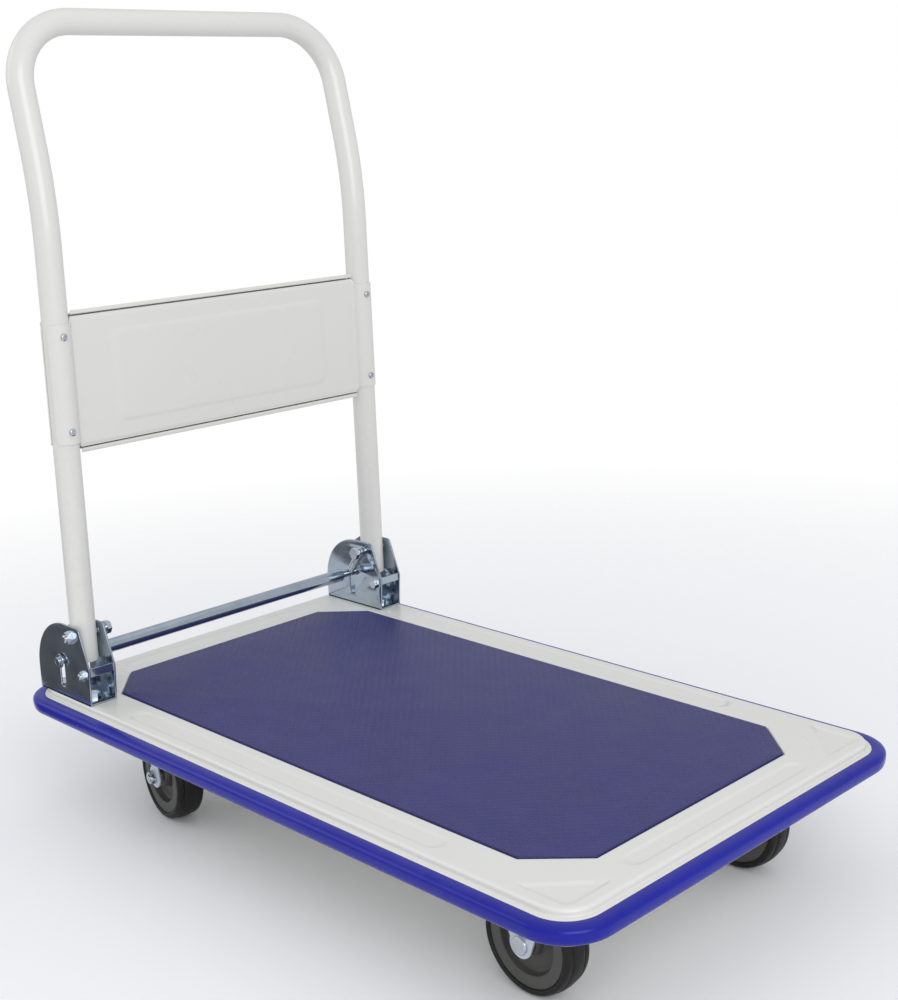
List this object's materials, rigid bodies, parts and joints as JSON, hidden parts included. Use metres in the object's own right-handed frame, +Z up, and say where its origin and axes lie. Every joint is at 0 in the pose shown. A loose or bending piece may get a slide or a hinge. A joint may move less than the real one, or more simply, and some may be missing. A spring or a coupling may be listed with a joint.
{
  "type": "folding platform cart",
  "caption": "Flat platform cart with a fold-down tubular push handle, foot-operated lock bar, rubber mat, bumper edge and rigid front and swivel rear casters.",
  "frame": {"origin": "on the floor under the middle of the deck", "axes": "+X the way the cart is pushed, with the handle at the -X end; +Y to the left of the person pushing; +Z up"},
  "size_m": [0.802, 0.48, 0.8476],
  "materials": {
    "cream_powder_coat": "gloss",
    "mat_vinyl": "satin",
    "bumper_vinyl": "gloss",
    "bright_zinc": "bright zinc plate",
    "fastener_zinc": "zinc plate",
    "satin_zinc": "satin zinc plate",
    "spring_steel": "bright",
    "bush_steel": "satin",
    "hub_plastic": "satin",
    "tyre_rubber": "satin"
  },
  "bodies": {
    "chassis": {"deck_pan": "cream_powder_coat", "deck_mat": "mat_vinyl", "edge_bumper": "bumper_vinyl", "front_cross_member": "cream_powder_coat", "middle_cross_member": "cream_powder_coat", "rear_cross_member": "cream_powder_coat", "left_hinge_bracket": "bright_zinc", "right_hinge_bracket": "bright_zinc", "bracket_bolts": "fastener_zinc", "bracket_nuts": "fastener_zinc", "bracket_backing_plates": "bright_zinc", "stop_bolts": "fastener_zinc", "stop_nuts": "fastener_zinc", "pivot_bolts": "fastener_zinc", "pivot_nuts": "fastener_zinc", "left_front_fork": "satin_zinc", "right_front_fork": "satin_zinc", "front_axle_bolts": "fastener_zinc", "front_axle_nuts": "fastener_zinc", "left_rear_plate": "satin_zinc", "right_rear_plate": "satin_zinc", "kingpins": "fastener_zinc", "caster_bolts": "fastener_zinc", "caster_nuts": "fastener_zinc", "left_lock_spring": "spring_steel", "right_lock_spring": "spring_steel"},
    "handle": {"handle_tube": "cream_powder_coat", "panel_front": "cream_powder_coat", "panel_back": "cream_powder_coat", "panel_screws": "fastener_zinc", "pivot_bushes": "bush_steel"},
    "foot_bar": {"lock_rod": "bright_zinc", "foot_sleeve": "bright_zinc", "rod_clips": "fastener_zinc"},
    "left_front_wheel": {"left_front_tyre": "tyre_rubber", "left_front_hub": "hub_plastic", "left_front_bush": "bush_steel"},
    "left_rear_swivel": {"left_rear_fork": "satin_zinc", "left_race_balls": "spring_steel", "left_rear_axle_bolt": "fastener_zinc", "left_rear_axle_nut": "fastener_zinc"},
    "left_rear_wheel": {"left_rear_tyre": "tyre_rubber", "left_rear_hub": "hub_plastic", "left_rear_bush": "bush_steel"},
    "right_front_wheel": {"right_front_tyre": "tyre_rubber", "right_front_hub": "hub_plastic", "right_front_bush": "bush_steel"},
    "right_rear_swivel": {"right_rear_fork": "satin_zinc", "right_race_balls": "spring_steel", "right_rear_axle_bolt": "fastener_zinc", "right_rear_axle_nut": "fastener_zinc"},
    "right_rear_wheel": {"right_rear_tyre": "tyre_rubber", "right_rear_hub": "hub_plastic", "right_rear_bush": "bush_steel"}
  },
  "joints": [
    {"name": "handle_fold", "type": "hinge", "parent": "chassis", "child": "handle", "pos_m": [-0.308, 0, 0.203], "axis": [0, 1, 0], "range_deg": [0, 90]},
    {"name": "foot_bar_press", "type": "slide", "parent": "chassis", "child": "foot_bar", "axis": [0, 0, -1], "range_m": [0, 0.025], "stiffness_N_per_m": 2000, "springref_m": -0.01, "deforming": ["left_lock_spring", "right_lock_spring"]},
    {"name": "left_front_wheel_spin", "type": "hinge", "parent": "chassis", "child": "left_front_wheel", "pos_m": [0.279, 0.147, 0.0485], "axis": [0, 1, 0], "continuous": true},
    {"name": "left_rear_swivel_turn", "type": "hinge", "parent": "chassis", "child": "left_rear_swivel", "pos_m": [-0.271, 0.147, 0.0485], "axis": [0, 0, 1], "continuous": true},
    {"name": "left_rear_wheel_spin", "type": "hinge", "parent": "left_rear_swivel", "child": "left_rear_wheel", "pos_m": [-0.24116, 0.14386, 0.0485], "axis": [0.1045, 0.9945, 0], "continuous": true},
    {"name": "right_front_wheel_spin", "type": "hinge", "parent": "chassis", "child": "right_front_wheel", "pos_m": [0.279, -0.147, 0.0485], "axis": [0, 1, 0], "continuous": true},
    {"name": "right_rear_swivel_turn", "type": "hinge", "parent": "chassis", "child": "right_rear_swivel", "pos_m": [-0.271, -0.147, 0.0485], "axis": [0, 0, 1], "continuous": true},
    {"name": "right_rear_wheel_spin", "type": "hinge", "parent": "right_rear_swivel", "child": "right_rear_wheel", "pos_m": [-0.24146, -0.15221, 0.0485], "axis": [0.1736, 0.9848, 0], "continuous": true}
  ]
}
